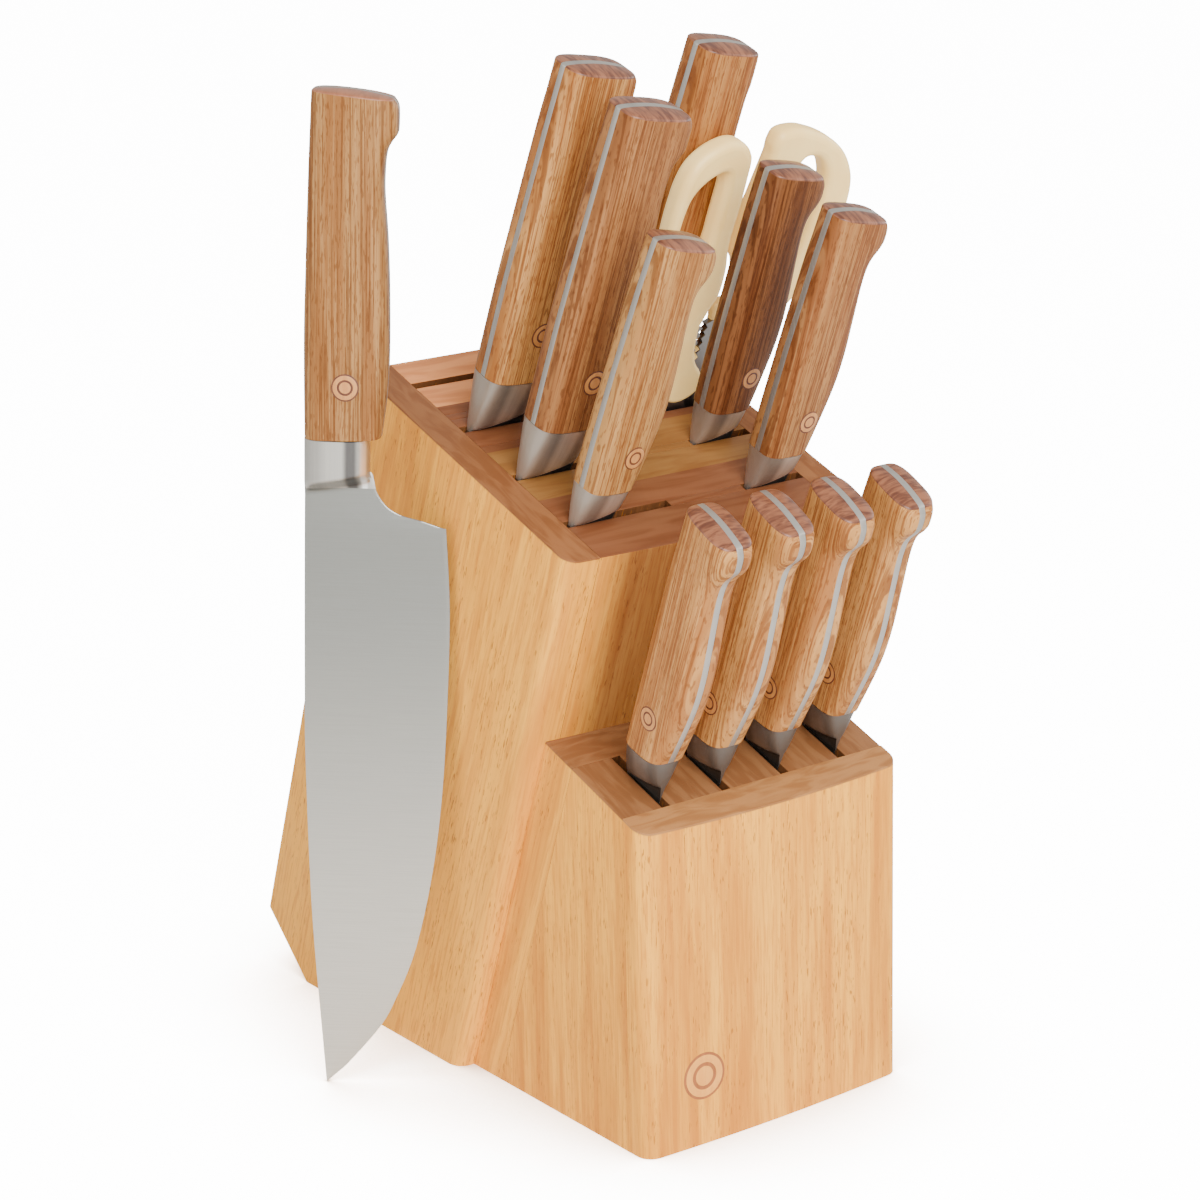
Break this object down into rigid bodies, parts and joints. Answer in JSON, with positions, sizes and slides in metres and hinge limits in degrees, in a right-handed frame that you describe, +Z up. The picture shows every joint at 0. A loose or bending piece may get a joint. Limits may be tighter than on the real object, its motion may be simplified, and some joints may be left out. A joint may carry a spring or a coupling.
{
  "type": "knife block with knives",
  "caption": "Leaning laminated wood knife block with a lower steak-knife block, full-tang wood-handled kitchen knives and pull-out shears.",
  "frame": {"origin": "on the ground, middle of the underside of the board between the main block and the lower block", "axes": "+Z up, -Y is the front (the side of the lower block and steak knives), +X to the right seen from the front"},
  "size_m": [0.1899, 0.2483, 0.3444],
  "materials": {
    "panel_wood": "satin oiled light hardwood, fine open grain",
    "core_wood": "satin laminated hardwood, redder than the panels",
    "handle_wood": "satin, fine parallel dark grain lines",
    "steel": "fine brushed stainless steel",
    "cream_plastic": "smooth matt cream plastic"
  },
  "bodies": {
    "block": {"left_side_panel": "panel_wood", "right_side_panel": "panel_wood", "core_board_front": "core_wood", "core_board_2": "core_wood", "core_board_3": "core_wood", "core_board_4": "core_wood", "core_board_5": "core_wood", "core_board_rear": "core_wood", "slot_spacer_row_4": "core_wood", "slot_spacer_row_3": "core_wood", "shears_slot_board": "core_wood", "slot_spacer_row_2": "core_wood", "slot_spacer_carving": "core_wood", "slot_spacer_chef": "core_wood", "lower_front_panel": "panel_wood", "lower_back_board": "panel_wood", "lower_side_board_left": "panel_wood", "lower_side_board_right": "panel_wood", "lower_slat_1": "panel_wood", "lower_slat_2": "panel_wood", "lower_slat_3": "panel_wood"},
    "bread_knife": {"bread_knife_blade": "steel", "bread_knife_scale_front": "handle_wood", "bread_knife_scale_back": "handle_wood"},
    "santoku_knife": {"santoku_knife_blade": "steel", "santoku_knife_scale_front": "handle_wood", "santoku_knife_scale_back": "handle_wood"},
    "carving_knife": {"carving_knife_blade": "steel", "carving_knife_scale_front": "handle_wood", "carving_knife_scale_back": "handle_wood"},
    "utility_knife": {"utility_knife_blade": "steel", "utility_knife_scale_front": "handle_wood", "utility_knife_scale_back": "handle_wood"},
    "tomato_knife": {"tomato_knife_blade": "steel", "tomato_knife_scale_front": "handle_wood", "tomato_knife_scale_back": "handle_wood"},
    "paring_knife": {"paring_knife_blade": "steel", "paring_knife_scale_front": "handle_wood", "paring_knife_scale_back": "handle_wood"},
    "steak_knife_1": {"steak_knife_1_blade": "steel", "steak_knife_1_scale_front": "handle_wood", "steak_knife_1_scale_back": "handle_wood"},
    "steak_knife_2": {"steak_knife_2_blade": "steel", "steak_knife_2_scale_front": "handle_wood", "steak_knife_2_scale_back": "handle_wood"},
    "steak_knife_3": {"steak_knife_3_blade": "steel", "steak_knife_3_scale_front": "handle_wood", "steak_knife_3_scale_back": "handle_wood"},
    "steak_knife_4": {"steak_knife_4_blade": "steel", "steak_knife_4_scale_front": "handle_wood", "steak_knife_4_scale_back": "handle_wood"},
    "chef_knife": {"chef_knife_blade": "steel", "chef_knife_scale_front": "handle_wood", "chef_knife_scale_back": "handle_wood"},
    "shears_left": {"shears_blade_left": "steel", "shears_handle_left": "cream_plastic", "shears_pivot": "steel"},
    "shears_right": {"shears_blade_right": "steel", "shears_handle_right": "cream_plastic"}
  },
  "joints": [
    {"name": "bread_knife_slide", "type": "slide", "parent": "block", "child": "bread_knife", "axis": [0, -0.3486, 0.9373], "range_m": [0, 0.215]},
    {"name": "santoku_knife_slide", "type": "slide", "parent": "block", "child": "santoku_knife", "axis": [0, -0.3486, 0.9373], "range_m": [0, 0.19]},
    {"name": "carving_knife_slide", "type": "slide", "parent": "block", "child": "carving_knife", "axis": [0, -0.3486, 0.9373], "range_m": [0, 0.215]},
    {"name": "utility_knife_slide", "type": "slide", "parent": "block", "child": "utility_knife", "axis": [0, -0.3486, 0.9373], "range_m": [0, 0.152]},
    {"name": "tomato_knife_slide", "type": "slide", "parent": "block", "child": "tomato_knife", "axis": [0, -0.3486, 0.9373], "range_m": [0, 0.127]},
    {"name": "paring_knife_slide", "type": "slide", "parent": "block", "child": "paring_knife", "axis": [0, -0.3486, 0.9373], "range_m": [0, 0.101]},
    {"name": "steak_knife_1_slide", "type": "slide", "parent": "block", "child": "steak_knife_1", "axis": [0, -0.3486, 0.9373], "range_m": [0, 0.124]},
    {"name": "steak_knife_2_slide", "type": "slide", "parent": "block", "child": "steak_knife_2", "axis": [0, -0.3486, 0.9373], "range_m": [0, 0.124]},
    {"name": "steak_knife_3_slide", "type": "slide", "parent": "block", "child": "steak_knife_3", "axis": [0, -0.3486, 0.9373], "range_m": [0, 0.124]},
    {"name": "steak_knife_4_slide", "type": "slide", "parent": "block", "child": "steak_knife_4", "axis": [0, -0.3486, 0.9373], "range_m": [0, 0.124]},
    {"name": "chef_knife_lift", "type": "slide", "parent": "block", "child": "chef_knife", "axis": [0, 0, 1], "range_m": [0, 0.25]},
    {"name": "shears_slide", "type": "slide", "parent": "block", "child": "shears_left", "axis": [0.1167, -0.3462, 0.9309], "range_m": [0, 0.122]},
    {"name": "shears_hinge", "type": "hinge", "parent": "shears_left", "child": "shears_right", "pos_m": [0.0336, 0.00624, 0.20572], "axis": [0, 0.9373, 0.3486], "range_deg": [0, 3]}
  ]
}
